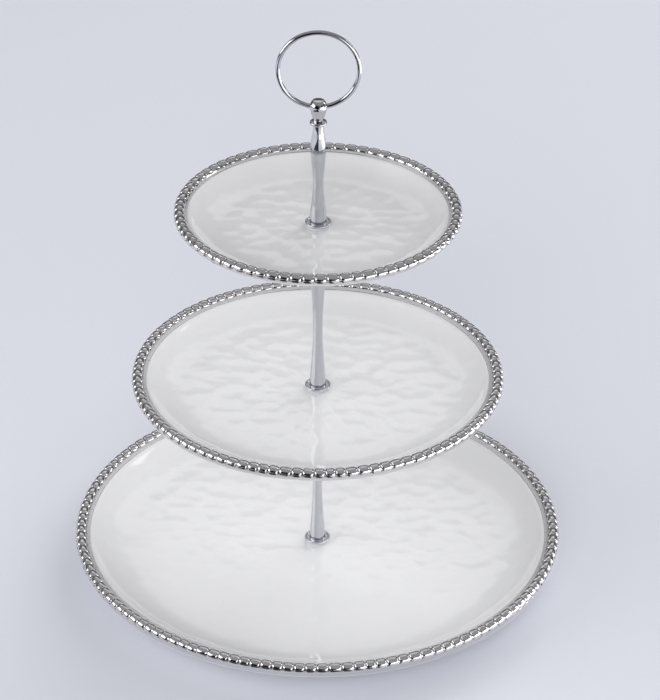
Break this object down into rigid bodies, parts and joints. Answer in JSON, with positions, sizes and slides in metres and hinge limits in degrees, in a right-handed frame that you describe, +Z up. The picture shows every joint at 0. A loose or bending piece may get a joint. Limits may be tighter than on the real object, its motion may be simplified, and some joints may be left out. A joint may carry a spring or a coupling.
{
  "type": "tiered cake stand",
  "caption": "Three round dishes with beaded rims, stacked from large to small on a slim screwed stem that ends in a swinging ring handle.",
  "frame": {"origin": "centre of the bottom dish's foot ring, on the surface that the stand rests on", "axes": "+Z up along the stem; the ring handle stands in the XZ plane, so the front looks along -Y"},
  "size_m": [0.318, 0.318, 0.3781],
  "materials": {
    "glaze": "gloss white glaze inside, polished silver beaded rim",
    "silver_rim": "polished silver plating on the beads, the band and the lip",
    "chrome": "polished",
    "satin_chrome": "polished, slightly soft",
    "zinc_steel": "zinc plated thread",
    "clear_seal": "soft clear plastic"
  },
  "bodies": {
    "bottom_tier": {"bottom_dish": "glaze", "bottom_dish_seal": "clear_seal", "bottom_dish_bush": "clear_seal"},
    "stem": {"bottom_screw": "zinc_steel", "bottom_cup_washer": "chrome", "bottom_flange": "chrome", "lower_rod": "satin_chrome", "middle_dish_stud": "zinc_steel", "middle_cup_washer": "chrome", "middle_flange": "chrome", "middle_rod": "satin_chrome", "top_dish_stud": "zinc_steel", "top_cup_washer": "chrome", "top_flange": "chrome", "upper_rod": "satin_chrome"},
    "middle_tier": {"middle_dish": "glaze", "middle_dish_seal": "clear_seal", "middle_dish_bush": "clear_seal"},
    "top_tier": {"top_dish": "glaze", "top_dish_seal": "clear_seal", "top_dish_bush": "clear_seal"},
    "finial_thread": {"finial_stud": "zinc_steel"},
    "finial": {"finial": "chrome"},
    "ring": {"ring_handle": "chrome"}
  },
  "joints": [
    {"name": "stem_turn", "type": "hinge", "parent": "bottom_tier", "child": "stem", "pos_m": [0, 0, 0.0098], "axis": [0, 0, 1], "continuous": true},
    {"name": "middle_tier_turn", "type": "hinge", "parent": "stem", "child": "middle_tier", "pos_m": [0, 0, 0.1282], "axis": [0, 0, 1], "continuous": true},
    {"name": "top_tier_turn", "type": "hinge", "parent": "stem", "child": "top_tier", "pos_m": [0, 0, 0.2466], "axis": [0, 0, 1], "continuous": true},
    {"name": "finial_lift", "type": "slide", "parent": "stem", "child": "finial_thread", "axis": [0, 0, 1], "range_m": [0, 0.00641]},
    {"name": "finial_turn", "type": "hinge", "parent": "finial_thread", "child": "finial", "pos_m": [0, 0, 0.2999], "axis": [0, 0, 1], "range_deg": [0, 2880]},
    {"name": "ring_swing", "type": "hinge", "parent": "finial", "child": "ring", "pos_m": [0, 0, 0.3276], "axis": [1, 0, 0], "range_deg": [-173, 173]}
  ],
  "couplings": [
    {"joint": "finial_lift", "follows": "finial_turn", "m_per_rad": 0.00012732}
  ]
}
